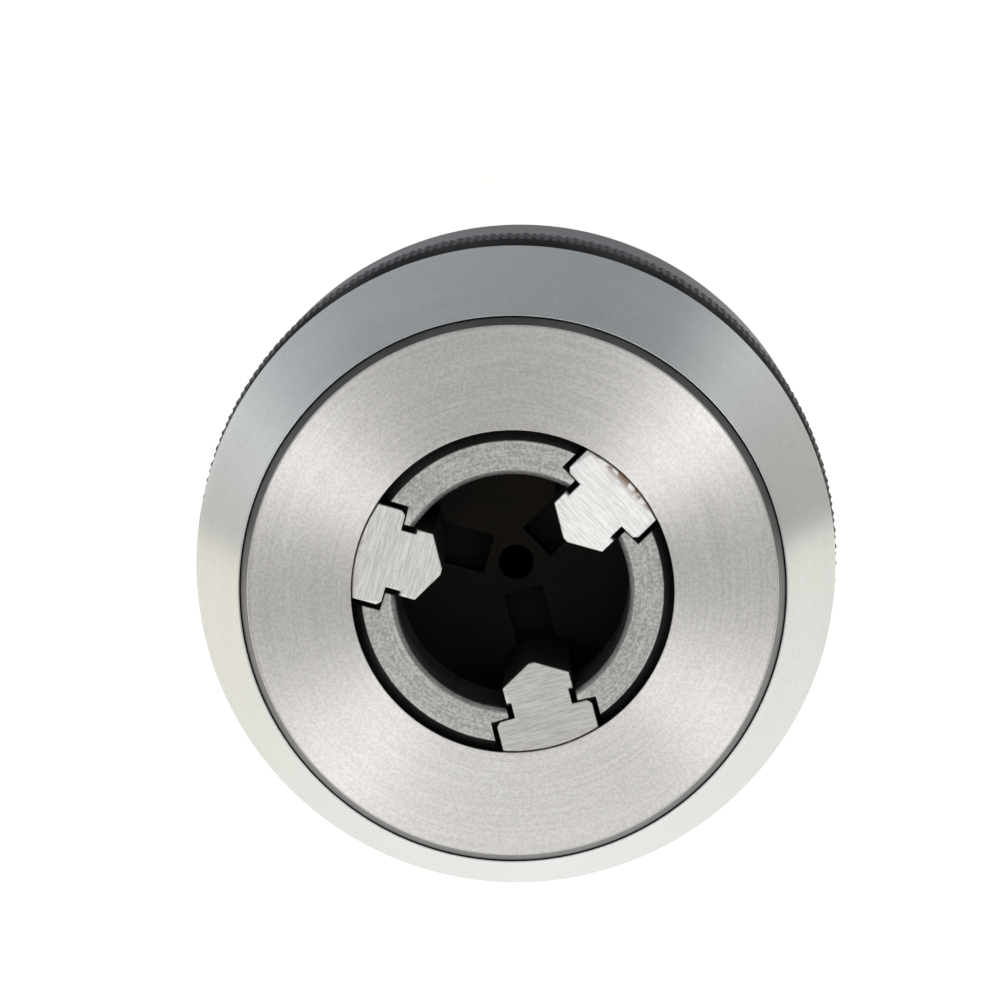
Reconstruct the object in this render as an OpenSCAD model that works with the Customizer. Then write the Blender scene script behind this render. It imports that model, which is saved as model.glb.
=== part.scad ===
// Keyless drill chuck. Turning the grip drives a left-hand screw, which pushes three jaws
// up a cone until they close on the drill.
// The chuck stands on its rear face with its nose up. Z is its axis and the origin is the
// centre of the rear face. A depth is measured down from the nose, so the mechanism keeps
// its place under the nose when the overall length changes.

/* [Overall] */
// Length from the rear face to the nose
chuck_l = 108; // [105:0.5:140]
// Diameter over the knurled grip
grip_d = 56; // [55:0.5:70]
// Angle of the jaws to the axis
cone_angle = 18; // [15:0.5:21.6]

/* [Nose] */
// Bore at the nose, where the jaws come out
nose_bore_d = 26.4; // [24:0.2:28]
// Outside diameter of the ground nose face
nose_face_d = 43.5; // [42:0.1:44]
// How far the nose face falls back from its bore to its rim
nose_fall = 0.8; // [0.2:0.1:2]
// Width of the bevel round the nose face
bevel_w = 0.65; // [0.3:0.05:0.8]
// Length of that bevel along the axis
bevel_h = 1.35; // [0.5:0.05:2]
// Length of the hardened cone bush
bush_l = 27; // [26:0.5:28]
// Depth of the step on the bush's outside
bush_step = 16; // [10:0.5:20]
// Wall of the bush at its rear end
bush_wall = 1.38; // [1.2:0.02:1.8]

/* [Front sleeve] */
// Flat rim between the bevel and the taper
rim_w = 0.15; // [0.1:0.01:0.4]
// Depth of the taper's rear edge below the nose
taper_l = 25; // [22:0.5:26]
// Set-back of that edge inside the knurl's diameter, on radius
taper_inset = 0.55; // [0.2:0.05:1]
// Set-back of the dark recess behind the taper, on radius
recess_inset = 1.05; // [0.8:0.05:1.4]
// Length of that recess
recess_l = 9.5; // [6:0.5:12]

/* [Grip sleeve] */
// Length of the knurled band
knurl_l = 7.5; // [5:0.5:12]
// Chamfer at both ends of the band
knurl_chamfer = 0.6; // [0.2:0.1:1.2]
// Set-back of the plain barrel inside the knurl's diameter, on radius
barrel_inset = 0.1; // [0.05:0.05:1.5]
// Length of the plain barrel
barrel_l = 24; // [16:0.5:30]
// Width of the groove between knurl and barrel
neck_groove_w = 0.8; // [0.4:0.1:3]
// Depth of that groove below the barrel
neck_groove_h = 0.6; // [0.2:0.1:1]
// Wall of the spigot that carries the front sleeve
spigot_wall = 1.95; // [1.4:0.05:2.2]

/* [Jaws] */
// Diameter of drill that the jaws hold as drawn
jaw_opening = 12.1; // [6:0.1:14]
// Width of the jaw's wings
wing_w = 8.06; // [6.7:0.02:9.7]
// Thickness of the wings, measured out from the axis
wing_t = 3; // [2.5:0.1:3.6]
// Width of the neck inside the wings
neck_w = 4.84; // [4:0.02:5.4]
// Height of that neck
neck_h = 1.3; // [0.8:0.1:1.6]
// Width of the gripping part
head_w = 5.64; // [5.2:0.02:6.8]
// Width of the flat on the gripping edge
tip_flat = 0.5; // [0.2:0.1:1]
// Angle between the two gripping faces
tip_angle = 120; // [110:1:130]
// Length of the jaw without its foot
jaw_l = 28; // [26:0.5:30]
// Diameter that cuts the jaws' backs off at the rear
jaw_back_d = 41.8; // [40:0.2:42]
// Width of the foot's neck
foot_neck_w = 3.2; // [2.4:0.1:3.8]
// Height of the foot's neck
foot_neck_h = 2.8; // [2:0.1:3.4]
// Width of the foot's flange
foot_w = 5.6; // [4.6:0.1:5.6]
// Height of the foot's flange
foot_h = 2.8; // [2:0.1:3.4]
// Distance from the axis to the foot's inner end
foot_in_r = 7.4; // [6.6:0.1:8.4]

/* [Jaw guide] */
// Gap between the guide and the cone, on radius
guide_gap = 0.9; // [0.4:0.05:1.2]
// Set-back of the guide below the nose
guide_inset = 0.3; // [0.1:0.1:1]
// Bore of the guide at the nose
guide_bore_d = 19.2; // [18:0.2:19.6]
// Depth where the bore widens for the screw's head
guide_step = 13.5; // [10:0.5:13.5]
// Chamfer at the mouth of the bore
guide_chamfer = 0.4; // [0.1:0.1:0.4]
// Thickness of the flange that joins the guide's three fingers
flange_t = 3; // [2:0.1:3.6]

/* [Screw] */
// Thread's outside diameter
screw_d = 16; // [13.3:0.2:19.2]
// Thread's pitch, left-handed
pitch = 2.5; // [2:0.25:3]
// Height of the thread's ridge
ridge_h = 1.1; // [0.8:0.1:1.2]
// Width of the ridge at its root
ridge_w = 1.45; // [1.1:0.05:1.5]
// Width of the ridge at its crest
crest_w = 0.55; // [0.3:0.05:0.7]
// Length of the screw behind its head
shank_l = 28.4; // [24:0.2:29]
// Diameter of the screw's head
screw_head_d = 28.4; // [26:0.2:28.8]
// Length of the screw's head
screw_head_l = 9.4; // [8.4:0.1:10]
// Diameter of the centre mark on the screw
centre_d = 3; // [2:0.1:4]

/* [Body] */
// Depth where the body's nut starts
nut_depth = 44; // [44:0.5:46]
// Diameter of the nut
nut_d = 26; // [22:0.5:30]
// Length of the nut in front of the flange
nut_l = 16; // [12:0.5:18]
// Length of its thread
nut_thread_l = 14; // [10:0.5:15]
// Length of the thrust flange
thrust_l = 6; // [4:0.5:8]
// Diameter of the hub behind the flange
hub_d = 35.6; // [34:0.1:36]
// How deep the screw's end reaches when the jaws are wide open
room_depth = 72.6; // [72.5:0.1:73]
// Hole through the web into the socket
web_hole_d = 8; // [4:0.5:12]
// Large diameter of the taper socket
socket_d = 17.78; // [14:0.01:22]
// Depth of the taper socket
socket_l = 32; // [24:0.5:32]
// Taper of the socket, diameter lost per unit of length
socket_taper = 0.04995; // [0.049:0.00005:0.051]
// Chamfers on the hub and the socket's mouth
hub_chamfer = 0.5; // [0.2:0.1:1]

/* [Bearing] */
// Ball diameter
ball_d = 3.5; // [3:0.1:4.2]
// Number of balls
ball_count = 24; // [12:1:24]
// Wall of the cage inside and outside the balls
cage_wall = 0.75; // [0.5:0.05:1]
// Thickness of the cage
cage_t = 2; // [1.5:0.1:2.4]
// Thickness of each race
race_t = 1.9; // [1.5:0.1:2.5]
// Depth of the ball groove in each race
race_groove = 0.35; // [0.2:0.05:0.5]

/* [Rear ring] */
// Diameter of the rear ring
rear_ring_d = 52; // [46:0.5:54]
// Length of the rear ring
rear_ring_l = 21; // [14:0.5:22]
// Chamfer at the ring's rear edge
rear_chamfer = 2; // [0.5:0.1:4]
// How far the hub stands out behind the ring
hub_stand = 2; // [1:0.1:4]
// Gap between the ring and the turning sleeve
rear_gap = 0.5; // [0.3:0.1:1]

/* [Fits] */
// Running clearance on radius, sleeve on body
run_gap = 0.05; // [0.02:0.01:0.08]
// Assembly clearance on radius, sleeve parts in each other
seat_gap = 0.05; // [0.01:0.01:0.1]
// Clearance between a jaw's back and the cone, on radius
cone_gap = 0.1; // [0.05:0.01:0.15]
// Clearance under the jaw's wings, on radius
wing_gap = 0.15; // [0.1:0.01:0.3]
// Clearance at each side of the wings
wing_side = 0.39; // [0.2:0.01:0.5]
// Clearance at each side of the gripping part
head_side = 0.065; // [0.05:0.005:0.2]
// Clearance all round the jaws' feet in the screw's head
foot_gap = 0.2; // [0.1:0.02:0.3]
// Clearance of the thread, on radius
thread_gap = 0.2; // [0.15:0.01:0.3]
// Clearance of the thread, at each flank
flank_gap = 0.15; // [0.1:0.01:0.25]
// Clearance of the thread in the room behind the nut, on radius
room_gap = 0.6; // [0.5:0.1:1.2]
// Clearance round each ball
ball_gap = 0.02; // [0.01:0.01:0.05]
// Clearance of a ball in its cage pocket, on radius
pocket_gap = 0.1; // [0.05:0.01:0.2]
// Clearance of the cage to the hub and to the sleeve, on radius
cage_gap = 0.2; // [0.1:0.05:0.4]
// Free travel kept at the ends of the jaws' motion
end_gap = 0.4; // [0.2:0.05:0.6]

/* [Hidden] */
$fn = 96;
JAWS = 3;
FIRST_JAW = 44.5;            // angle of the first jaw about the axis
OPEN_TRAVEL = 6;             // how far the jaws draw back from here, along the axis
CLOSE_TRAVEL = 14;           // how far they come forward from here, along the axis
BACK_EASE = 0.2;             // how much larger than the bore the arc of a jaw's back is
WING_BREAK = 0.35;           // small break inside the jaws' wings
THREAD_STEPS = 24;           // facets in one turn of the thread
FADE_STEPS = 8;              // facets over which each end of the screw's thread fades out
SHARP = 0.25;                // small break on sharp turned edges
CUT = 1;                     // how far a cutting shape runs past what it cuts

function jaw_name(i) = str("jaw_", i);
function ball_name(i) = str("ball_", i < 10 ? "0" : "", i);
function jaw_angle(i) = FIRST_JAW + 360 * (i - 1) / JAWS;

// Height of a point that lies a given depth below the nose
function z_at(depth) = chuck_l - depth;
// Radius of the bush's cone at a depth
cone_slope = tan(cone_angle);
function cone_r(depth) = nose_bore_d / 2 + cone_slope * depth;
// Radius of the guide's outside at a depth
function guide_r(depth) = cone_r(depth) - guide_gap;

// Nose and sleeves
bush_r = cone_r(bush_l) + bush_wall;
bush_front_r = nose_face_d / 2 + bevel_w;
rim_depth = nose_fall + bevel_h;
lip_bore_r = bush_front_r + seat_gap;
taper_front_r = lip_bore_r + rim_w;
taper_rear_r = grip_d / 2 - taper_inset;
recess_r = grip_d / 2 - recess_inset;
flange_depth = bush_l + flange_t;
sleeve_joint = taper_l + recess_l;

// Bearing, from the hub outwards and from the flange backwards
hub_r = hub_d / 2;
cage_in_r = hub_r + cage_gap;
pocket_r = ball_d / 2 + pocket_gap;
pitch_r = cage_in_r + cage_wall + pocket_r;
cage_out_r = pitch_r + pocket_r + cage_wall;
chamber_r = cage_out_r + cage_gap;
thrust_depth = nut_depth + nut_l;
race_1_depth = thrust_depth + thrust_l;
ball_depth = race_1_depth + race_t - race_groove + ball_gap + ball_d / 2;
race_2_depth = ball_depth + ball_d / 2 + ball_gap - race_groove;
chamber_depth = race_2_depth + race_t;

// Grip sleeve
spigot_r = chamber_r + spigot_wall;
flange_r = spigot_r;
knurl_end = sleeve_joint + knurl_l;
barrel_r = grip_d / 2 - barrel_inset;
barrel_end = knurl_end + neck_groove_w + barrel_l;
tail_r = rear_ring_d / 2;
sleeve_end = chuck_l - hub_stand - rear_ring_l - rear_gap;

// Jaws
tip_r = jaw_opening / 2;
back_r = nose_bore_d / 2 - cone_gap;
wing_r = back_r - wing_t;
neck_r = wing_r - neck_h;
back_arc_r = nose_bore_d / 2 + BACK_EASE;
jaw_back_r = jaw_back_d / 2;
jaw_slot_r = jaw_back_r + cone_slope * OPEN_TRAVEL + end_gap / 2;

// Screw
head_depth = jaw_l + foot_gap;
head_end = head_depth + screw_head_l;
foot_end = jaw_l + foot_neck_h + foot_h;
screw_end = head_end + shank_l;
screw_core_r = screw_d / 2 - ridge_h;
nut_bore_r = screw_core_r + thread_gap;
nut_root_r = screw_d / 2 + thread_gap;
slot_in_r = foot_in_r - cone_slope * CLOSE_TRAVEL - end_gap;
room_r = screw_d / 2 + room_gap;

// A turned piece, from its outline of [radius, depth] points
module turned(outline) {
    rotate_extrude() polygon([for (p = outline) [p[0], z_at(p[1])]]);
}

// A washer between two depths
module washer(in_r, out_r, depth, length) {
    turned([[in_r, depth], [out_r, depth], [out_r, depth + length], [in_r, depth + length]]);
}

// A round bar between two depths
module bar(r, depth, length) {
    translate([0, 0, z_at(depth + length)]) cylinder(r = r, h = length);
}

// A box out from the axis between two radii, of a width, between two depths
module spoke(from_r, to_r, width, depth, length) {
    translate([from_r, -width / 2, z_at(depth + length)]) cube([to_r - from_r, width, length]);
}

// Stands a shape on the jaw's line of travel: X becomes the distance out from that line
module along_cone() {
    translate([0, 0, z_at(0)]) rotate([0, -cone_angle, 0]) children();
}

// Four corners of the thread's ridge, at one step of the helix
function ridge_ring(i, in_r, out_r, root, crest) =
    let (turn = -360 * i / THREAD_STEPS, rise = pitch * i / THREAD_STEPS)
    [for (c = [[in_r, -root / 2], [out_r, -crest / 2], [out_r, crest / 2], [in_r, root / 2]])
        [c[0] * cos(turn), c[0] * sin(turn), rise + c[1]]];

// A left-hand ridge from one step to another, measured up from the rear face. Its outer
// radius rises from its inner one over the first and last fade steps.
module ridge(first, last, in_r, out_r, root, crest, fade) {
    steps = last - first;
    rings = [for (i = [0:steps])
        let (grow = fade > 0 ? min(1, i / fade, (steps - i) / fade) : 1)
        ridge_ring(first + i, in_r, in_r + SHARP / 2 + (out_r - in_r - SHARP / 2) * grow, root, crest)];
    points = [for (ring = rings) for (p = ring) p];
    sides = [for (i = [0:steps - 1]) for (k = [0:3])
        let (a = 4 * i + k, b = 4 * i + (k + 1) % 4)
        for (f = [[a, b, b + 4], [a, b + 4, a + 4]]) f];
    end = 4 * steps;
    caps = [[0, 2, 1], [0, 3, 2], [end, end + 1, end + 2], [end, end + 2, end + 3]];
    polyhedron(points, concat([for (f = sides) [f[0], f[2], f[1]]], [for (f = caps) [f[0], f[2], f[1]]]));
}

// Step of the helix that lies at a depth
function step_at(depth) = round(z_at(depth) * THREAD_STEPS / pitch);

module body() {
    color("#8d9094") difference() {
        turned([
            [nut_bore_r, nut_depth + ridge_h], [nut_bore_r + ridge_h, nut_depth],
            [nut_d / 2 - hub_chamfer, nut_depth], [nut_d / 2, nut_depth + hub_chamfer],
            [nut_d / 2, thrust_depth], [chamber_r - run_gap - hub_chamfer, thrust_depth],
            [chamber_r - run_gap, thrust_depth + hub_chamfer],
            [chamber_r - run_gap, race_1_depth], [hub_r, race_1_depth],
            [hub_r, chuck_l - hub_chamfer], [hub_r - hub_chamfer, chuck_l],
            [socket_d / 2, chuck_l],
            [(socket_d - socket_taper * socket_l) / 2, chuck_l - socket_l],
            [web_hole_d / 2, chuck_l - socket_l], [web_hole_d / 2, room_depth],
            [room_r, room_depth], [room_r, nut_depth + nut_thread_l],
            [nut_bore_r, nut_depth + nut_thread_l]]);
        ridge(step_at(nut_depth + nut_thread_l + pitch), step_at(nut_depth - pitch),
            nut_bore_r - SHARP, nut_root_r, ridge_w + 2 * flank_gap, crest_w + 2 * flank_gap, 0);
    }
}

module rear_ring() {
    ring_depth = sleeve_end + rear_gap;
    color("#6f7378") turned([
        [hub_r, ring_depth], [rear_ring_d / 2 - hub_chamfer, ring_depth],
        [rear_ring_d / 2, ring_depth + hub_chamfer],
        [rear_ring_d / 2, ring_depth + rear_ring_l - rear_chamfer],
        [rear_ring_d / 2 - rear_chamfer, ring_depth + rear_ring_l],
        [hub_r, ring_depth + rear_ring_l]]);
}

// A race: a washer with a round groove for the balls
module race(in_r, out_r, depth) {
    color("#b9bcc0") difference() {
        washer(in_r, out_r, depth, race_t);
        translate([0, 0, z_at(ball_depth)]) rotate_extrude()
            translate([pitch_r, 0]) circle(r = ball_d / 2 + ball_gap);
    }
}

module race_body() {
    race(hub_r, chamber_r - cage_gap, race_1_depth);
}

module race_sleeve() {
    race(cage_in_r, chamber_r - seat_gap, race_2_depth);
}

module ball_cage() {
    color("#c9a24a") difference() {
        washer(cage_in_r, cage_out_r, ball_depth - cage_t / 2, cage_t);
        for (i = [1:ball_count]) rotate(360 * i / ball_count) translate([pitch_r, 0, 0])
            bar(pocket_r, ball_depth - cage_t / 2 - CUT, cage_t + 2 * CUT);
    }
}

module ball(i) {
    color("#d8dadc") rotate(360 * i / ball_count) translate([pitch_r, 0, z_at(ball_depth)])
        sphere(d = ball_d);
}

module grip_sleeve() {
    groove_end = knurl_end + neck_groove_w;
    groove_floor_r = barrel_r - neck_groove_h;
    color("#5c6065") turned([
        [chamber_r, flange_depth], [spigot_r, flange_depth], [spigot_r, sleeve_joint],
        [grip_d / 2 - knurl_chamfer, sleeve_joint], [grip_d / 2, sleeve_joint + knurl_chamfer],
        [grip_d / 2, knurl_end - knurl_chamfer], [grip_d / 2 - knurl_chamfer, knurl_end],
        [groove_floor_r, knurl_end], [groove_floor_r, groove_end], [barrel_r, groove_end],
        [barrel_r, barrel_end - (barrel_r - tail_r)], [tail_r, barrel_end],
        [tail_r, sleeve_end - hub_chamfer], [tail_r - hub_chamfer, sleeve_end],
        [hub_r + run_gap, sleeve_end], [hub_r + run_gap, chamber_depth],
        [chamber_r, chamber_depth]]);
}

module front_sleeve() {
    color("#a3a9aa") turned([
        [lip_bore_r, rim_depth], [taper_front_r, rim_depth],
        [taper_rear_r, taper_l - SHARP], [taper_rear_r - SHARP, taper_l],
        [recess_r, taper_l], [recess_r, sleeve_joint],
        [spigot_r + seat_gap, sleeve_joint], [spigot_r + seat_gap, bush_l],
        [bush_r + seat_gap, bush_l], [bush_r + seat_gap, bush_step],
        [lip_bore_r, bush_step]]);
}

module cone_bush() {
    color("#d6d3d2") turned([
        [nose_bore_d / 2 + SHARP, 0], [nose_face_d / 2, nose_fall],
        [bush_front_r, rim_depth], [bush_front_r, bush_step],
        [bush_r, bush_step], [bush_r, bush_l], [cone_r(bush_l), bush_l],
        [cone_r(SHARP), SHARP]]);
}

// The slot that one jaw's wings, neck and head slide in, out to a radius
module jaw_slot(out_r) {
    ledge_r = wing_r - wing_gap;
    reach = chuck_l;
    intersection() {
        union() {
            along_cone() translate([ledge_r * cos(cone_angle), -wing_w / 2 - wing_side, -reach])
                cube([reach, wing_w + 2 * wing_side, 2 * reach]);
            spoke(0, out_r + CUT, head_w + 2 * head_side, -CUT, flange_depth + 2 * CUT);
        }
        bar(out_r, -CUT, flange_depth + 2 * CUT);
    }
}

module jaw_guide() {
    bore_r = guide_bore_d / 2;
    wide_r = (screw_head_d + 2 * end_gap) / 2;
    color("#a7a7a4") difference() {
        turned([
            [bore_r, guide_inset + guide_chamfer], [bore_r + guide_chamfer, guide_inset],
            [guide_r(guide_inset), guide_inset], [guide_r(bush_l), bush_l],
            [flange_r, bush_l], [flange_r, flange_depth],
            [wide_r, flange_depth], [wide_r, guide_step], [bore_r, guide_step]]);
        for (i = [1:JAWS]) rotate(jaw_angle(i)) jaw_slot(jaw_slot_r);
    }
}

// The jaw's cross-section, square to its line of travel, with X out from the axis
module jaw_section() {
    c = cos(cone_angle);
    w = wing_w / 2;
    n = neck_w / 2;
    h = head_w / 2;
    deep = chuck_l / 2;
    polygon([
        [-deep, -h], [neck_r * c, -h], [neck_r * c, -n], [wing_r * c, -n],
        [wing_r * c, WING_BREAK - w], [wing_r * c + WING_BREAK, -w],
        [back_r * c, -w], [back_r * c, w],
        [wing_r * c + WING_BREAK, w], [wing_r * c, w - WING_BREAK],
        [wing_r * c, n], [neck_r * c, n], [neck_r * c, h], [-deep, h]]);
}

// Room that the jaw fills, seen along the axis: its gripping faces and its cut-off back
module jaw_outline() {
    f = tip_flat / 2;
    wide = wing_w;
    tip_run = (wide - f) / tan(tip_angle / 2);
    intersection() {
        translate([0, 0, z_at(foot_end)]) linear_extrude(foot_end) polygon([
            [tip_r, -f], [tip_r, f], [tip_r + tip_run, wide],
            [grip_d, wide], [grip_d, -wide], [tip_r + tip_run, -wide]]);
        bar(jaw_back_r, 0, foot_end);
    }
}

module jaw(i) {
    c = cos(cone_angle);
    color("#cfcfcd") rotate(jaw_angle(i)) intersection() {
        jaw_outline();
        union() {
            intersection() {
                bar(grip_d, 0, jaw_l);
                along_cone() translate([0, 0, -chuck_l / 2]) linear_extrude(chuck_l) jaw_section();
                along_cone() translate([back_r * c - back_arc_r, 0, -chuck_l / 2])
                    cylinder(r = back_arc_r, h = chuck_l);
            }
            spoke(foot_in_r, grip_d, foot_neck_w, jaw_l - SHARP, foot_neck_h + 2 * SHARP);
            spoke(foot_in_r, grip_d, foot_w, jaw_l + foot_neck_h, foot_h);
        }
    }
}

module spindle() {
    head_r = screw_head_d / 2;
    slot_out_r = head_r + CUT;
    foot_slot_depth = jaw_l + foot_neck_h - foot_gap;
    color("#9c9fa3") difference() {
        union() {
            turned([
                [0, head_depth], [head_r - SHARP, head_depth], [head_r, head_depth + SHARP],
                [head_r, head_end - SHARP], [head_r - SHARP, head_end],
                [screw_core_r, head_end], [screw_core_r, screw_end - ridge_h],
                [screw_core_r - ridge_h, screw_end], [0, screw_end]]);
            ridge(step_at(screw_end - 2 * ridge_w), step_at(head_end + ridge_w),
                screw_core_r - SHARP, screw_d / 2, ridge_w, crest_w, FADE_STEPS);
        }
        for (i = [1:JAWS]) rotate(jaw_angle(i)) {
            spoke(slot_in_r, slot_out_r, foot_neck_w + foot_gap,
                head_depth - CUT, foot_slot_depth - head_depth + 2 * CUT);
            spoke(slot_in_r, slot_out_r, foot_w + foot_gap,
                foot_slot_depth, foot_end + foot_gap - foot_slot_depth);
        }
        translate([0, 0, z_at(head_depth) - centre_d / 2])
            cylinder(r1 = 0, r2 = centre_d / 2 + CUT, h = centre_d / 2 + CUT);
    }
}

body();
rear_ring();
race_body();
race_sleeve();
ball_cage();
grip_sleeve();
front_sleeve();
cone_bush();
jaw_guide();
spindle();
for (i = [1:JAWS]) jaw(i);
for (i = [1:ball_count]) ball(i);
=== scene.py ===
# %% [markdown]
# # A keyless drill chuck
# This notebook dresses a machinist's drill chuck that stands on its rear face with its nose up.
# The working shapes and the joints come from the CAD model, which is loaded first and never
# moved. Everything here is the visible skin: turned steel with real rounded edges, a cut
# diamond knurl, ground jaws, and the finishes of each steel. Sizes are in metres.

# %% Load the frame
import math

import bmesh
import bpy
from mathutils import Matrix, Vector


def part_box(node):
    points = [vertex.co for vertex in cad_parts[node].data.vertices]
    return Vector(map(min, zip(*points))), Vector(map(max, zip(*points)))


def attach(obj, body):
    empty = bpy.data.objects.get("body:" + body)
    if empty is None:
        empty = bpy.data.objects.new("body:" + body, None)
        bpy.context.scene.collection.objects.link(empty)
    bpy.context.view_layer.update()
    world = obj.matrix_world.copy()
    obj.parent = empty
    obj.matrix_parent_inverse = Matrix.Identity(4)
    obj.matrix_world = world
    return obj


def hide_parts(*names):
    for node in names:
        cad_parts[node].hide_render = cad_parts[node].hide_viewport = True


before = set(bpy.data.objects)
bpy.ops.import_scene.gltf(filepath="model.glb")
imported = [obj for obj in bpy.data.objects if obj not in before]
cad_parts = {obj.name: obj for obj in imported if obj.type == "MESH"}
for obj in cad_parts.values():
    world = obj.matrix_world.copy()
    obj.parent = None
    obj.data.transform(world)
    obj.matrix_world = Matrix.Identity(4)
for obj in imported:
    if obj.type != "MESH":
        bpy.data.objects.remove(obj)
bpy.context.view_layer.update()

# %% [markdown]
# ## Sizes
# Heights and outside radii are read from the CAD nodes' boxes, so the skin follows the design.
# A few sizes can't be read from a box, such as the nose bore, so they are written here once.
# The alternative, measuring the CAD meshes point by point, would be harder to read.

# %% Sizes taken from the frame
MM = 0.001


def top(node):
    """Height of a node's highest point."""
    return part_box(node)[1].z


def bottom(node):
    """Height of a node's lowest point."""
    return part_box(node)[0].z


def radius(node):
    """Outside radius of a round node that stands on the axis."""
    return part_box(node)[1].x


NOSE = top("cone_bush")
BUSH_END = bottom("cone_bush")
BUSH_R = radius("cone_bush")
SLEEVE_END = bottom("front_sleeve")
TAPER_R = radius("front_sleeve")
GRIP_R = radius("grip_sleeve")
GRIP_END = bottom("grip_sleeve")
GRIP_TOP = top("grip_sleeve")
RING_R = radius("rear_ring")
RING_TOP, RING_END = top("rear_ring"), bottom("rear_ring")
print("nose at", round(NOSE / MM, 2), "mm, grip radius", round(GRIP_R / MM, 2), "mm")

# %% Sizes of the turned details
CONE_SLOPE = math.tan(math.radians(18))   # the jaws' cone
NOSE_BORE_R = 13.2 * MM
NOSE_FACE_R = 21.75 * MM
NOSE_FALL = 0.8 * MM                      # from the bore out to the edge of the face
BEVEL_W, BEVEL_H = 0.65 * MM, 1.35 * MM   # joins the face to the bush's side
BUSH_FRONT_R = NOSE_FACE_R + BEVEL_W
RIM_DEPTH = NOSE_FALL + BEVEL_H
BUSH_STEP = 16 * MM                       # depth of the step outside the bush
SEAT_GAP = 0.05 * MM                      # between pieces that are fitted together
RIM_W = 0.15 * MM                         # the hood's front lip
RIM_R = BUSH_FRONT_R + SEAT_GAP + RIM_W
TAPER_L = 25 * MM                         # from the nose to the taper's rear edge
TAPER_END = NOSE - TAPER_L
RECESS_R = 26.95 * MM
SPIGOT_R = 25.35 * MM                     # where the hood is pushed on to the grip
KNURL_L = 7.5 * MM
KNURL_CHAMFER = 0.6 * MM
KNURL_WALL = 1.6 * MM                     # thickness of a knurled band
KNURL_TOP = SLEEVE_END
BARREL_R, BARREL_L = GRIP_R - 0.1 * MM, 24 * MM
TAIL_R = RING_R                           # the sleeve's rear end is as slim as the ring
NECK_W, NECK_DEPTH = 0.8 * MM, 0.6 * MM   # the groove between the knurl and the barrel
HUB_R = 17.8 * MM
CHAMBER_R = 23.4 * MM                     # the bearing's room inside the sleeve
CHAMBER_END = bottom("race_sleeve")
RING_CHAMFER = 2 * MM
RING_LAND = 3 * MM                        # plain band at each end of the rear ring
LAP = 0.05 * MM                           # how far a knurled band reaches into its core
SPLIT = 0.02 * MM                         # keeps two pieces' faces out of one plane
JAW_ANGLES = [44.5, 164.5, 284.5]
print("heights in mm: taper ends", round(TAPER_END / MM, 2), "knurl", round(KNURL_TOP / MM, 2))

# %% [markdown]
# ## Camera
# The chuck is seen almost straight down its nose, from a little way off the axis, through a
# long lens. A long lens keeps the circles round. The camera could be aimed with a Track To
# constraint, but a look-at matrix built here keeps the view's up along the chuck's Y axis.

# %% Camera
VIEW_DISTANCE = 509.6 * MM                # from the nose
VIEW_TILT = math.radians(5.3)             # off the chuck's axis
VIEW_LEAN = math.radians(6.8)             # how far the tilt leans from +Y towards +X
LENS_MM = 224.3
AIM_RIGHT, AIM_UP = -1.03 * MM, 7.51 * MM  # the nose sits low and right of the middle
NOSE_POINT = Vector((0, 0, NOSE))


def away(azimuth, off_axis):
    """The direction that leaves the nose at an azimuth and an angle off the axis."""
    reach = math.sin(off_axis)
    return Vector((reach * math.cos(azimuth), reach * math.sin(azimuth), math.cos(off_axis)))


def axes_facing(back, up_hint):
    """Right, up and back axes of something that looks along -back."""
    right = up_hint.cross(back).normalized()
    return right, back.cross(right), back


def camera_at(distance, tilt, lean):
    """A camera that looks at the nose, with the view's up along +Y."""
    right, up, back = axes_facing(away(math.pi / 2 - lean, tilt), Vector((0, 1, 0)))
    place = NOSE_POINT + back * distance
    aim = NOSE_POINT + right * AIM_RIGHT + up * AIM_UP
    axes = axes_facing((place - aim).normalized(), Vector((0, 1, 0)))
    data = bpy.data.cameras.new("camera")
    data.lens = LENS_MM
    data.sensor_width = 36
    data.clip_start, data.clip_end = 0.01, 20
    cam = bpy.data.objects.new("camera", data)
    cam.matrix_world = Matrix(axes).transposed().to_4x4()
    cam.location = place
    bpy.context.collection.objects.link(cam)
    return cam


bpy.context.scene.camera = camera_at(VIEW_DISTANCE, VIEW_TILT, VIEW_LEAN)
print("camera at", [round(v, 3) for v in bpy.context.scene.camera.location])

# %% [markdown]
# ## Shader tools
# Shader maths is easier to read as Python than as a picture of boxes. Value wraps one output
# of a node, and an expression on it adds Math nodes. Every other node comes from one method
# of Finish, which also holds the principled shader and its constant settings.

# %% Value and Finish
class Value:
    """A number that changes over a surface."""

    def __init__(self, finish, socket):
        self.finish, self.socket = finish, socket

    def math(self, operation, *others):
        node = self.finish.node("ShaderNodeMath", {"operation": operation}, [self, *others])
        return Value(self.finish, node.outputs[0])

    def __add__(self, other):
        return self.math("ADD", other)

    __radd__ = __add__

    def __sub__(self, other):
        return self.math("SUBTRACT", other)

    def __rsub__(self, other):
        return (self * -1) + other

    def __mul__(self, other):
        return self.math("MULTIPLY", other)

    __rmul__ = __mul__

    def between(self, low, high):
        """0 below low, 1 above high, and smooth in between."""
        settings = {"interpolation_type": "SMOOTHSTEP"}
        inputs = {"Value": self, "From Min": low, "From Max": high}
        node = self.finish.node("ShaderNodeMapRange", settings, inputs)
        return Value(self.finish, node.outputs["Result"])


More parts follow.
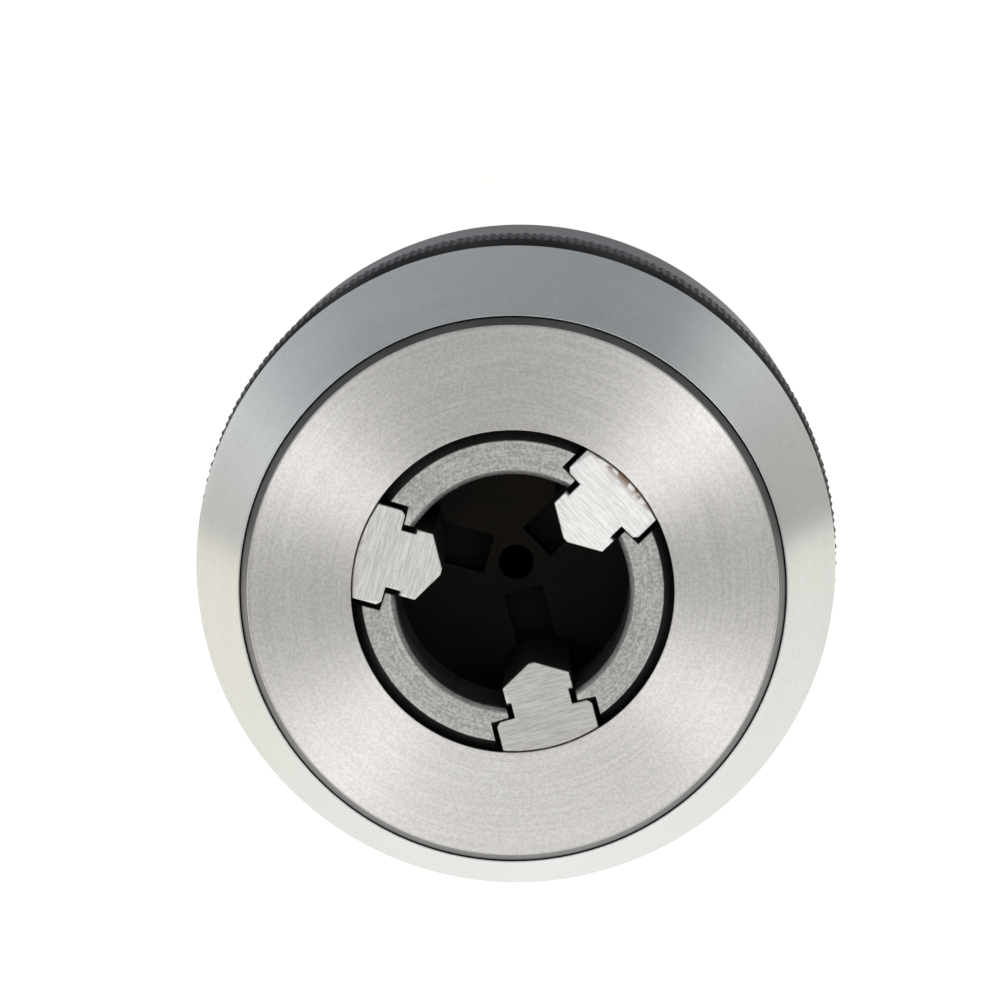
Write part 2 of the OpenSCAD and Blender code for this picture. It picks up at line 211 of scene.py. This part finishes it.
class Finish:
    """One material: a principled shader, its constants, and the nodes that vary it."""

    def __init__(self, name, constants):
        self.material = bpy.data.materials.new(name)
        self.material.use_nodes = True
        self.tree = self.material.node_tree
        self.shader = self.tree.nodes["Principled BSDF"]
        for key, value in constants.items():
            self.shader.inputs[key].default_value = value

    def node(self, kind, settings=None, inputs=()):
        """Adds a node, sets its settings, then feeds its sockets with numbers or links."""
        made = self.tree.nodes.new(kind)
        for key, value in (settings or {}).items():
            setattr(made, key, value)
        pairs = inputs.items() if isinstance(inputs, dict) else enumerate(inputs)
        for key, value in pairs:
            if isinstance(value, Value):
                value = value.socket
            if isinstance(value, bpy.types.NodeSocket):
                self.tree.links.new(value, made.inputs[key])
            else:
                made.inputs[key].default_value = value
        return made

    def feed(self, name, value):
        """Links a varying value or colour to one of the shader's inputs."""
        socket = value.socket if isinstance(value, Value) else value
        self.tree.links.new(socket, self.shader.inputs[name])

    def position(self):
        """X, Y and Z of the point, in the chuck's frame."""
        where = self.node("ShaderNodeTexCoord").outputs["Object"]
        parts = self.node("ShaderNodeSeparateXYZ", None, [where])
        return [Value(self, out) for out in parts.outputs]

    def noise(self, vector, scale, detail=2.0, roughness=0.5):
        """Smooth noise from 0 to 1 at a point made of three values."""
        point = self.node("ShaderNodeCombineXYZ", None, vector).outputs[0]
        inputs = {"Vector": point, "Scale": scale, "Detail": detail, "Roughness": roughness}
        return Value(self, self.node("ShaderNodeTexNoise", None, inputs).outputs[0])

    def scratches(self, vector, scale, width=0.006):
        """Thin wandering scratches, drawn where smooth noise crosses its middle."""
        crossing = (self.noise(vector, scale) - 0.5).math("ABSOLUTE")
        return 1 - crossing.between(0, width)

    def blend(self, factor, first, second):
        """A colour between two, by a varying factor."""
        inputs = {"Factor": factor, 6: first, 7: second}
        return self.node("ShaderNodeMix", {"data_type": "RGBA"}, inputs).outputs[2]

    def bump(self, height, depth):
        """Turns a height from 0 to 1 into relief of a real depth."""
        inputs = {"Height": height, "Distance": depth, "Strength": 1.0}
        self.feed("Normal", self.node("ShaderNodeBump", None, inputs).outputs[0])


print("shader tools ready")

# %% [markdown]
# ## Light
# Polished steel shows its surroundings, so the light is built as a small light tent:
# a pale sky, soft boxes round the nose, and grey cards on the floor that only the metal sees.
# The cards put the dark half into the taper. An image of a studio would do the same work,
# but a few plain shapes are easier to steer.

# %% World and floor
scene = bpy.context.scene
scene.view_settings.view_transform = "Standard"
SKY = 0.43
FLOOR_R = 3.0
FLOOR_COLOUR = (0.90, 0.90, 0.87, 1)
FLOOR_GLOW = 0.66        # the floor is lit from below, like a light table
FLOOR_TINT = (1, 1, 0.95)


def pale_world(strength):
    """A plain pale sky all round."""
    world = bpy.data.worlds.new("pale_sky")
    scene.world = world
    world.use_nodes = True
    background = world.node_tree.nodes["Background"]
    background.inputs["Color"].default_value = (1, 1, 1, 1)
    background.inputs["Strength"].default_value = strength


def studio_finish(name, colour, glow, glow_colour=(1, 1, 1)):
    """A dull, glowing finish for things that aren't part of the chuck."""
    return Finish(name, {
        "Base Color": colour, "Roughness": 0.8, "Specular IOR Level": 0.0,
        "Emission Color": (*glow_colour, 1), "Emission Strength": glow})


def stage_object(name, bm, material):
    """Stores a bmesh as part of the studio."""
    mesh = bpy.data.meshes.new(name)
    bm.to_mesh(mesh)
    bm.free()
    mesh.materials.append(material)
    obj = bpy.data.objects.new(name, mesh)
    bpy.context.collection.objects.link(obj)
    return obj


pale_world(SKY)
floor = bmesh.new()
bmesh.ops.create_circle(floor, cap_ends=True, segments=96, radius=FLOOR_R)
paint = studio_finish("floor_paint", FLOOR_COLOUR, FLOOR_GLOW, FLOOR_TINT)
stage_object("floor", floor, paint.material)
print("floor radius", FLOOR_R)

# %% Soft boxes
BOXES = {
    # name: azimuth and angle off the axis in degrees, distance, width, height, radiance
    "box_upper_right": (31, 23, 0.60, 0.10, 0.24, 2.40),
    "box_upper_left": (160, 25, 0.60, 0.10, 0.24, 2.05),
    "box_lower_left": (228, 31, 0.60, 0.14, 0.30, 1.35),
    "box_lower_right": (320, 30, 0.60, 0.13, 0.30, 1.50),
    "box_front": (270, 35, 0.65, 0.42, 0.34, 0.90),
}


def soft_box(name, azimuth, off_axis, distance, width, height, radiance):
    """A rectangular lamp that faces the nose. Its power follows from its area and radiance."""
    data = bpy.data.lights.new(name, "AREA")
    data.shape = "RECTANGLE"
    data.size, data.size_y = width, height
    data.energy = radiance * math.pi * width * height
    back = away(math.radians(azimuth), math.radians(off_axis))
    lamp = bpy.data.objects.new(name, data)
    lamp.matrix_world = Matrix(axes_facing(back, Vector((0, 0, 1)))).transposed().to_4x4()
    lamp.location = NOSE_POINT + back * distance
    lamp.visible_camera = False
    bpy.context.collection.objects.link(lamp)
    return lamp


for name, values in BOXES.items():
    soft_box(name, *values)
print("soft boxes:", list(BOXES))

# %% Reflection cards
COOL, WARM = Vector((0.93, 1.0, 1.06)), Vector((1.04, 1.0, 0.93))
TENT = [
    # azimuth, brightness, warmth from 0 to 1
    (0, 1.02, 1.0), (4, 0.52, 1.0), (22, 0.60, 0.8), (38, 0.74, 0.4), (55, 0.38, 0.1),
    (74, 0.34, 0.0), (108, 0.40, 0.0), (126, 0.43, 0.0), (142, 0.58, 0.1), (158, 0.86, 0.5),
    (178, 0.68, 0.9), (182, 1.02, 1.2), (215, 1.03, 1.0), (275, 1.12, 0.7), (340, 1.04, 0.9),
    (360, 1.02, 1.0)]
BACK = (4, 178)                           # azimuths of the darker half
RINGS = [
    # inner and outer radius, how bright the back half is there
    (0.028, 0.052, 0.55), (0.053, 0.110, 1.20), (0.112, 0.60, 0.45)]
CARD_LIFT = 1 * MM
CARD_STEPS = 180


def tent_colour(azimuth, back_scale):
    """The colour of the card at an azimuth, blended between the entries of TENT."""
    for (a, bright_a, warm_a), (b, bright_b, warm_b) in zip(TENT, TENT[1:]):
        if a <= azimuth <= b:
            t = (azimuth - a) / (b - a)
            bright = bright_a + (bright_b - bright_a) * t
            warm = warm_a + (warm_b - warm_a) * t
    scale = back_scale if BACK[0] <= azimuth <= BACK[1] else 1.0
    return (*(COOL.lerp(WARM, warm) * bright * scale), 1)


def card_ring(name, in_r, out_r, back_scale):
    """A ring-shaped card on the floor, seen only in the metal."""
    bm = bmesh.new()
    glow = bm.verts.layers.float_color.new("glow")
    ends = [bm.verts.new((r, 0, CARD_LIFT)) for r in (in_r, out_r)]
    bmesh.ops.spin(bm, geom=[*ends, bm.edges.new(ends)], cent=(0, 0, 0), axis=(0, 0, 1),
                   dvec=(0, 0, 0), angle=math.tau, steps=CARD_STEPS, use_merge=True)
    for v in bm.verts:
        azimuth = math.degrees(math.atan2(v.co.y, v.co.x)) % 360
        v[glow] = tent_colour(round(azimuth, 2), back_scale)
    finish = studio_finish(name, (0, 0, 0, 1), 1.0)
    painted = finish.node("ShaderNodeVertexColor", {"layer_name": "glow"})
    finish.feed("Emission Color", painted.outputs["Color"])
    obj = stage_object(name, bm, finish.material)
    obj.visible_camera = obj.visible_diffuse = obj.visible_shadow = False
    return obj


for i, values in enumerate(RINGS, 1):
    card_ring(f"card_ring_{i}", *values)
print("cards:", len(RINGS))

# %% [markdown]
# ## Turned steel
# A lathe or a cylindrical grinder leaves rings round the axis. Light spreads across those
# rings and not along them, which draws the bright fans on the nose. The spread could be
# drawn as a picture of fans, but it would stay still when the light moves. Here the
# shader's anisotropy makes it, with rings of fine relief and a slow change of roughness.

# %% Turned steel
RING_SCALE = 5200.0      # rings per metre, roughly one every 0.2 mm
BROAD_SCALE = 420.0      # the slower changes between the rings
SWEEP = 1.3              # how little the rings change on the way round
CLOUD_SCALE = 90.0       # patches of handling, about a centimetre across
GRAIN_SCALE = 4200.0
SPECK_SCALE = 1100.0
HAIR_SCALE = 150.0
WORN = (0.97, 0.97, 0.96, 1)              # bare metal in specks and scratches
AROUND = 0.25            # turns the highlight a quarter, as rings round the axis do


def turned_steel(name, colour, roughness, anisotropy, depth, contrast=0.16, wear=0.5):
    """Steel with rings round the axis, fine grain, and the scratches of use."""
    finish = Finish(name, {
        "Metallic": 1.0, "Anisotropic": anisotropy, "Anisotropic Rotation": AROUND})
    x, y, z = finish.position()
    r = (x * x + y * y).math("SQRT")
    turn = y.math("ARCTAN2", x)
    around = [turn.math("COSINE") * SWEEP, turn.math("SINE") * SWEEP]
    along = r + z
    rings = finish.noise([along * RING_SCALE, *around], 1.0, 3.0, 0.6)
    broad = finish.noise([along * BROAD_SCALE, *around], 1.0)
    cloud = finish.noise([x, y, z], CLOUD_SCALE, 3.0)
    grain = finish.noise([x, y, z], GRAIN_SCALE).between(0.38, 0.62)
    specks = finish.noise([x, y, z], SPECK_SCALE, 4.0, 0.7).between(0.64, 0.76)
    hairs = finish.scratches([x, y, z], HAIR_SCALE) * cloud.between(0.48, 0.6)
    shade = grain * 0.45 + rings.between(0.3, 0.7) * 0.35 + cloud * 0.2
    dull = tuple(v * (1 - contrast) for v in colour)
    steel = finish.blend(shade, (*dull, 1), (*colour, 1))
    worn = (specks * 0.5 + hairs * 0.4) * wear
    finish.feed("Base Color", finish.blend(worn, steel, WORN))
    uneven = rings * 0.10 + broad * 0.08 + specks * wear * 0.1
    finish.feed("Roughness", uneven + (roughness - 0.09))
    finish.bump(rings * 0.6 + specks * 0.2 + hairs * 0.2, depth)
    return finish.material


TURNED = {
    # name: colour, roughness, anisotropy, depth of the rings, contrast, wear
    "ground_nose": ((0.865, 0.842, 0.812), 0.32, 0.80, 1.4e-6, 0.26, 0.6),
    # the satin sleeve's cool tint is a painted reflection of its surroundings
    "satin_sleeve": ((0.775, 0.80, 0.795), 0.30, 0.75, 1.5e-6, 0.24, 0.6),
    "barrel_steel": ((0.43, 0.405, 0.42), 0.38, 0.60, 4e-6, 0.4, 0.4),
    "guide_steel": ((0.69, 0.675, 0.65), 0.42, 0.30, 9e-6, 0.55, 0.9),
    "body_steel": ((0.60, 0.61, 0.63), 0.34, 0.60, 2e-6),
    "race_steel": ((0.78, 0.79, 0.80), 0.16, 0.40, 5e-7, 0.06, 0.1),
}
FINISHES = {name: turned_steel(name, *values) for name, values in TURNED.items()}
print("turned finishes:", list(FINISHES))

# %% [markdown]
# ## The other finishes
# The knurl is darkened by oxide and oil. The recess, the guide's walls, the screw and the jaws'
# sides are painted dark as shade, and the bush's bevel is painted dark as a reflection. The jaws
# are ground flat, so their scratches run straight across them and each jaw turns the pattern by
# its own angle; their ends differ in brightness by painted light. The cage is brass and the
# balls are polished.

# %% Darkened steel and painted shade
def dark_steel(name, colour, edge, roughness, metallic=0.9):
    """Dark steel, a little uneven: oxide on the knurl, painted shade in bores and recesses, a
    painted dark reflection on the bevel.
    """
    finish = Finish(name, {"Metallic": metallic})
    place = finish.position()
    cloud = finish.noise(place, 160.0, 4.0, 0.6)
    grain = finish.noise(place, 3500.0, 3.0, 0.6)
    finish.feed("Base Color", finish.blend(cloud.between(0.35, 0.7), (*colour, 1), (*edge, 1)))
    finish.feed("Roughness", cloud * 0.16 + grain * 0.12 + (roughness - 0.12))
    finish.bump(grain, 3e-6)
    return finish.material


print("dark steel ready")

# %% Ground jaws
STAIN_BAND = (12.2 * MM, 13.1 * MM)       # distance from the axis, where rust may sit
GROUND_END = (NOSE - 0.45 * MM, NOSE - 0.25 * MM)   # heights between the sides' painted shade and the ground end
RUST = (0.30, 0.17, 0.09, 1)
SIDE_PAINTED_SHADE = (0.05, 0.048, 0.045, 1)


def ground_jaw(name, angle, colour, stain):
    """A jaw: straight scratches across its ground end, a faint stain at its back, painted shade
    on its sides.
    """
    finish = Finish(name, {
        "Metallic": 1.0, "Anisotropic": 0.85, "Anisotropic Rotation": AROUND})
    x, y, z = finish.position()
    c, s = math.cos(math.radians(angle)), math.sin(math.radians(angle))
    out, across = x * c + y * s, y * c - x * s
    scratch = finish.noise([out * 9000.0, across * 520.0, z * 520.0], 1.0, 4.0, 0.75)
    coarse = finish.noise([out * 1500.0, across * 90.0, z * 90.0], 1.0, 2.0)
    patch = finish.noise([x, y, z], 800.0, 3.0)
    nicks = finish.noise([x, y, z], 2600.0, 3.0, 0.7).between(0.6, 0.7)
    lines = (scratch * 0.85 + coarse * 0.15).between(0.42, 0.58) - nicks * 0.5
    back = out.between(*STAIN_BAND) * patch.between(0.5, 0.6) * stain
    shade = finish.blend(lines, tuple(0.74 * v for v in colour) + (1,), (*colour, 1))
    face = finish.blend(back, shade, RUST)
    end = z.between(*GROUND_END)
    # below the ground end the jaw's sides take painted shade
    finish.feed("Base Color", finish.blend(end, SIDE_PAINTED_SHADE, face))
    finish.feed("Roughness", scratch * 0.28 + coarse * 0.06 + back * 0.2 + 0.20)
    finish.bump(scratch * 0.9 + coarse * 0.1, 14e-6)
    return finish.material


print("ground jaw ready")

# %% Brass and balls
def brass(name):
    """Machined brass, a little tarnished."""
    finish = Finish(name, {"Metallic": 1.0})
    cloud = finish.noise(finish.position(), 260.0, 3.0)
    finish.feed("Base Color", finish.blend(cloud, (0.80, 0.62, 0.27, 1), (0.66, 0.48, 0.20, 1)))
    finish.feed("Roughness", cloud * 0.2 + 0.18)
    return finish.material


def polished_ball(name):
    """Polished bearing steel with the faintest haze."""
    finish = Finish(name, {"Metallic": 1.0})
    haze = finish.noise(finish.position(), 700.0)
    finish.feed("Base Color", finish.blend(haze, (0.88, 0.89, 0.90, 1), (0.82, 0.83, 0.85, 1)))
    finish.feed("Roughness", haze * 0.05 + 0.05)
    return finish.material


DARK_STEEL_AND_PAINTED_SHADE = {
    # name: the two colours it varies between, roughness, metallic if it isn't 0.9
    "knurled_grip": ((0.038, 0.038, 0.041), (0.070, 0.070, 0.074), 0.42),
    # the guide walls' dark colour is painted shade inside the bore
    "guide_walls_painted_shade": ((0.17, 0.166, 0.16), (0.30, 0.295, 0.285), 0.45),
    # the bevel's dark colour is a painted reflection of dark surroundings
    "bevel_painted_dark_reflection": ((0.17, 0.172, 0.175), (0.22, 0.222, 0.225), 0.38, 1.0),
    # the recess's near-black colour is painted shade
    "recess_painted_shade": ((0.022, 0.023, 0.026), (0.035, 0.036, 0.040), 0.50),
    # the screw's near-black colour is painted shade deep in the bore
    "screw_steel": ((0.017, 0.014, 0.011), (0.026, 0.021, 0.017), 0.40),
}
for name, values in DARK_STEEL_AND_PAINTED_SHADE.items():
    FINISHES[name] = dark_steel(name, *values)
FINISHES["cage_brass"] = brass("cage_brass")
FINISHES["ball_steel"] = polished_ball("ball_steel")
JAW_PAINTED_LIGHT_AND_STAIN = [
    # colour of the ground end, lighter or darker per jaw as painted light, and how stained its
    # back is
    ((1.0, 0.99, 0.97), 0.9), ((0.93, 0.915, 0.88), 0.3), ((0.79, 0.775, 0.73), 0.1)]
for i, (angle, look) in enumerate(zip(JAW_ANGLES, JAW_PAINTED_LIGHT_AND_STAIN), 1):
    FINISHES[f"jaw_steel_{i}"] = ground_jaw(f"jaw_steel_{i}", angle, *look)
print("finishes:", len(FINISHES))

# %% [markdown]
# ## Modelling tools
# Nearly every piece is turned, so its outline is drawn once as radius and height, and Spin
# sweeps it round the axis. Sharp corners catch no light, so Bevel then rounds every edge that
# turns by more than a set angle. A Screw modifier could sweep the outline too, but an applied
# mesh lets the knurl be cut into it.

# %% Lathe, rounding and finishing helpers
SPIN_STEPS = 256
SHARP_ANGLE = math.radians(18)
SAME_POINT = 1e-7        # points closer than this are one


def lathe(outline):
    """A solid of revolution from a closed outline of (radius, height) points."""
    bm = bmesh.new()
    verts = [bm.verts.new((r, 0, z)) for r, z in outline]
    edges = [bm.edges.new((verts[i], verts[(i + 1) % len(verts)])) for i in range(len(verts))]
    bmesh.ops.spin(bm, geom=verts + edges, cent=(0, 0, 0), axis=(0, 0, 1), dvec=(0, 0, 0),
                   angle=math.tau, steps=SPIN_STEPS, use_merge=True)
    bmesh.ops.remove_doubles(bm, verts=bm.verts, dist=SAME_POINT)
    bmesh.ops.recalc_face_normals(bm, faces=bm.faces)
    return bm


def round_edges(bm, width, segments=3, keep=lambda p: True):
    """Rounds the sharp edges whose middle passes the test keep."""
    sharp = [e for e in bm.edges
             if e.calc_face_angle(0) > SHARP_ANGLE and keep((e.verts[0].co + e.verts[1].co) / 2)]
    bmesh.ops.bevel(bm, geom=sharp, offset=width, offset_type="OFFSET", affect="EDGES",
                    segments=segments, profile=0.5, material=-1, clamp_overlap=True)
    return len(sharp)


def piece(name, bm, body, materials, replaces=(), smooth=38):
    """Stores a bmesh as a piece that rides on a body and stands for CAD nodes."""
    mesh = bpy.data.meshes.new(name)
    bm.to_mesh(mesh)
    bm.free()
    mesh.shade_smooth()
    mesh.set_sharp_from_angle(angle=math.radians(smooth))
    for key in materials:
        mesh.materials.append(FINISHES[key])
    obj = bpy.data.objects.new(name, mesh)
    bpy.context.collection.objects.link(obj)
    weighted = obj.modifiers.new("flat_faces_stay_flat", "WEIGHTED_NORMAL")
    weighted.keep_sharp = True
    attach(obj, body)
    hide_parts(*replaces)
    print(name, "faces", len(mesh.polygons))
    return obj


def at_depth(depth):
    """Height of a point that lies a depth below the nose."""
    return NOSE - depth


def middle_of(face):
    """Distance from the axis and height of a face's middle."""
    middle = face.calc_center_median()
    return math.hypot(middle.x, middle.y), middle.z


print("modelling tools ready")

# %% [markdown]
# ## Nose bush
# The hardened nose is a thick ring with a blunt, ground face and a cone inside for the jaws.
# Its edges are broken by a fine hone, which gives the thin bright line round the bore. The bevel
# round the face is coloured dark, a painted reflection of dark surroundings. The two finishes
# are two material slots of one piece.

# %% Nose bush
BUSH_EDGE = 0.14 * MM


def on_ground_face(r):
    """True between the bore's edge and the bevel."""
    return NOSE_BORE_R - SPLIT <= r <= NOSE_FACE_R + 2 * SPLIT


bush = lathe([
    (NOSE_BORE_R, NOSE), (NOSE_FACE_R, at_depth(NOSE_FALL)), (BUSH_FRONT_R, at_depth(RIM_DEPTH)),
    (BUSH_FRONT_R, at_depth(BUSH_STEP)), (BUSH_R, at_depth(BUSH_STEP)), (BUSH_R, BUSH_END),
    (NOSE_BORE_R + CONE_SLOPE * (NOSE - BUSH_END), BUSH_END)])
round_edges(bush, BUSH_EDGE)
# faces off the ground face, the bevel among them, take a dark colour that is a painted dark
# reflection
for face in bush.faces:
    r, z = middle_of(face)
    face.material_index = 0 if on_ground_face(r) else 1
piece("nose_bush", bush, "sleeve", ["ground_nose", "bevel_painted_dark_reflection"], ["cone_bush"])

# %% [markdown]
# ## Front sleeve
# The hood behind the nose is a satin taper whose cool tint is a painted reflection. Its front
# lip closes round the bush, and it ends in a recess in front of the knurl. One outline makes it
# all, and the faces in its bore and in the recess take a near-black colour that is painted
# shade. Two pieces would need a joint that isn't there.

# %% Front sleeve
HOOD_EDGE, LIP_EDGE = 0.16 * MM, 0.05 * MM
LIP_ZONE = RIM_DEPTH + 1 * MM             # in front of this the hood is only its lip
LIP_TOP = RIM_DEPTH + 0.1 * MM
front = lathe([
    (BUSH_FRONT_R + SEAT_GAP, at_depth(RIM_DEPTH)), (RIM_R, at_depth(RIM_DEPTH)),
    (TAPER_R, TAPER_END), (RECESS_R, TAPER_END), (RECESS_R, SLEEVE_END),
    (SPIGOT_R + SEAT_GAP, SLEEVE_END), (SPIGOT_R + SEAT_GAP, BUSH_END),
    (BUSH_R + SEAT_GAP, BUSH_END), (BUSH_R + SEAT_GAP, at_depth(BUSH_STEP)),
    (BUSH_FRONT_R + SEAT_GAP, at_depth(BUSH_STEP))])
round_edges(front, HOOD_EDGE, 3, lambda p: p.z < at_depth(LIP_ZONE))
round_edges(front, LIP_EDGE, 2, lambda p: p.z > at_depth(LIP_TOP))
# faces in the bore and in the recess take the painted shade
for face in front.faces:
    r, z = middle_of(face)
    in_bore = r < BUSH_FRONT_R + 2 * SEAT_GAP
    in_recess = z < TAPER_END - SPLIT
    face.material_index = 1 if in_bore or in_recess else 0
piece("front_hood", front, "sleeve", ["satin_sleeve", "recess_painted_shade"], ["front_sleeve"])

# %% [markdown]
# ## Knurled grip
# A short band of diamond knurl leads a plain barrel. A diamond knurl is two sets of V grooves
# that cross. A bump map would leave the outline smooth, so the pyramids are real: a flat grid
# is wrapped round the grip, and each point is pressed in to the deeper of the two grooves. A
# chamfer runs the teeth out at both ends. The band could be spun like the other rings, but
# Spin is slow at so many steps.

# %% Knurling
KNURL_TEETH = 120
POINTS_PER_TOOTH = 10
KNURL_DEPTH = 0.36 * MM
HELIX_ANGLE = math.radians(30)


def triangle_wave(u):
    """0 in the bottom of a groove, 1 on the crest, once per whole u."""
    return abs(2 * (u - math.floor(u)) - 1)


def knurled_band(out_r, low, high, chamfer, teeth):
    """A ring whose outside is cut into diamonds between two heights."""
    lead = math.tau * out_r / teeth / math.tan(HELIX_ANGLE)
    rows = round((high - low) / (lead / POINTS_PER_TOOTH))
    bm = bmesh.new()
    bmesh.ops.create_grid(bm, x_segments=teeth * POINTS_PER_TOOTH, y_segments=rows, size=0.5)
    for v in bm.verts:
        turn, rise = v.co.x + 0.5, (v.co.y + 0.5) * (high - low)
        u, w = teeth * turn, rise / lead
        crest = min(triangle_wave(u + w), triangle_wave(u - w))
        edge = min(rise, high - low - rise, chamfer)
        r = min(out_r - KNURL_DEPTH * (1 - crest), out_r - chamfer + edge)
        v.co = (r * math.cos(math.tau * turn), r * math.sin(math.tau * turn), low + rise)
    bmesh.ops.remove_doubles(bm, verts=bm.verts, dist=SAME_POINT)
    rims = [e for e in bm.edges if e.is_boundary]
    grown = bmesh.ops.extrude_edge_only(bm, edges=rims)["geom"]
    for v in (g for g in grown if isinstance(g, bmesh.types.BMVert)):
        v.co.xy = v.co.xy.normalized() * (out_r - KNURL_WALL)
    bmesh.ops.bridge_loops(bm, edges=[e for e in bm.edges if e.is_boundary])
    bmesh.ops.recalc_face_normals(bm, faces=bm.faces)
    return bm


knurl_end = KNURL_TOP - KNURL_L
band = knurled_band(GRIP_R, knurl_end, KNURL_TOP, KNURL_CHAMFER, KNURL_TEETH)
piece("grip_knurl", band, "sleeve", ["knurled_grip"], ["grip_sleeve"], smooth=20)

# %% Grip barrel
BARREL_EDGE = 0.35 * MM
barrel_top = knurl_end - NECK_W
barrel_end = barrel_top - BARREL_L
neck_r = BARREL_R - NECK_DEPTH
core_r = GRIP_R - KNURL_WALL + LAP
barrel = lathe([
    (CHAMBER_R, GRIP_TOP), (SPIGOT_R, GRIP_TOP), (SPIGOT_R, KNURL_TOP - SPLIT),
    (core_r, KNURL_TOP - SPLIT), (core_r, knurl_end + SPLIT),
    (neck_r, knurl_end + SPLIT), (neck_r, barrel_top), (BARREL_R, barrel_top),
    (BARREL_R, barrel_end + BARREL_R - TAIL_R), (TAIL_R, barrel_end), (TAIL_R, GRIP_END),
    (HUB_R + SEAT_GAP, GRIP_END), (HUB_R + SEAT_GAP, CHAMBER_END),
    (CHAMBER_R, CHAMBER_END)])
round_edges(barrel, BARREL_EDGE)
piece("grip_barrel", barrel, "sleeve", ["barrel_steel"], ["grip_sleeve"])

# %% [markdown]
# ## Rear ring
# The ring at the back is held still while the grip is turned, so it is knurled too, with a
# plain land at each end. The land and the knurl are two pieces, so that the fine mesh is
# spent only where the teeth are.

# %% Rear ring
RING_TEETH = 112
RING_KNURL_CHAMFER = 0.4 * MM
RING_EDGE = 0.2 * MM
ring_low, ring_high = RING_END + RING_CHAMFER + RING_LAND, RING_TOP - RING_LAND
ring_core_r = RING_R - KNURL_WALL + 2 * LAP
ring_band = knurled_band(RING_R, ring_low, ring_high, RING_KNURL_CHAMFER, RING_TEETH)
piece("ring_knurl", ring_band, "body", ["knurled_grip"], ["rear_ring"], smooth=20)
ring = lathe([
    (HUB_R, RING_TOP), (RING_R, RING_TOP), (RING_R, ring_high), (ring_core_r, ring_high),
    (ring_core_r, ring_low), (RING_R, ring_low), (RING_R, RING_END + RING_CHAMFER),
    (RING_R - RING_CHAMFER, RING_END), (HUB_R, RING_END)])
round_edges(ring, RING_EDGE)
piece("ring_core", ring, "body", ["body_steel"], ["rear_ring"])

# %% [markdown]
# ## Pieces cut from the design
# The jaws and their guide are milled, and their working faces must stay where the design has
# them. So a copy of each CAD mesh is cleaned up: loose triangles are merged, flat faces
# joined, and the edges are broken with Bevel, as a fitter would with a stone. The guide has
# thin webs deep inside that a bevel would turn inside out, so only its front edges are
# broken. The joined faces are many-sided, so they are cut into triangles last.
#
# Anisotropy runs round the middle of a mesh's texture space. The jaws' scratches are straight,
# so each jaw's texture space is moved far behind the axis, where the circles are nearly lines.

# %% A copy of a CAD mesh
LOOSE = 2e-6                              # how far apart points of one corner may lie
FLAT_ANGLE = math.radians(0.5)


def from_design(node, width, keep=lambda p: True):
    """A copy of a CAD node's mesh with merged points, joined flats and broken edges."""
    bm = bmesh.new()
    bm.from_mesh(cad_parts[node].data)
    bm.transform(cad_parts[node].matrix_world)
    bmesh.ops.remove_doubles(bm, verts=bm.verts, dist=LOOSE)
    bmesh.ops.dissolve_limit(bm, angle_limit=FLAT_ANGLE, verts=bm.verts, edges=bm.edges)
    count = round_edges(bm, width, 2, keep)
    bmesh.ops.triangulate(bm, faces=[f for f in bm.faces if len(f.verts) > 4],
                          ngon_method="EAR_CLIP")
    print(node, "edges broken:", count)
    return bm


print("points merged within", LOOSE / MM, "mm")

# %% Jaws
JAW_EDGE = 0.09 * MM
FAR = 0.25               # how far behind the axis the jaws' scratches have their centre
for i, angle in enumerate(JAW_ANGLES, 1):
    node = f"jaw_{i}"
    jaw = from_design(node, JAW_EDGE)
    obj = piece(f"{node}_ground", jaw, node, [f"jaw_steel_{i}"], [node])
    a = math.radians(angle)
    obj.data.use_auto_texspace = False
    obj.data.texspace_location = (-FAR * math.cos(a), -FAR * math.sin(a), NOSE)
    obj.data.texspace_size = (1, 1, 1)

# %% Guide
GUIDE_EDGE = 0.08 * MM
GUIDE_FRONT = 1 * MM     # the guide's edges are broken only this far back from the nose
STEEP = 0.5              # a face whose normal rises less than this is a wall
guide = from_design("jaw_guide", GUIDE_EDGE, lambda p: p.z > at_depth(GUIDE_FRONT))
# the guide's walls take a dark colour that is painted shade; its front keeps the turned steel
for face in guide.faces:
    face.material_index = 1 if abs(face.normal.z) < STEEP else 0
piece("guide_ring", guide, "sleeve", ["guide_steel", "guide_walls_painted_shade"], ["jaw_guide"])

# %% [markdown]
# ## Pieces that keep their CAD shape
# The screw, the body, the races, the cage and the balls are right as they are, so they only take
# a finish; the screw's near-black colour is painted shade.

# %% Finishes on the CAD nodes
# the screw's finish is painted shade
KEPT = {"body": "body_steel", "spindle": "screw_steel", "race_body": "race_steel",
        "race_sleeve": "race_steel", "ball_cage": "cage_brass"}
for name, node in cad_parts.items():
    key = "ball_steel" if name.startswith("ball_") and name != "ball_cage" else KEPT.get(name)
    if key:
        node.data.materials.clear()
        node.data.materials.append(FINISHES[key])
print("kept CAD nodes take:", sorted(set(KEPT.values())))
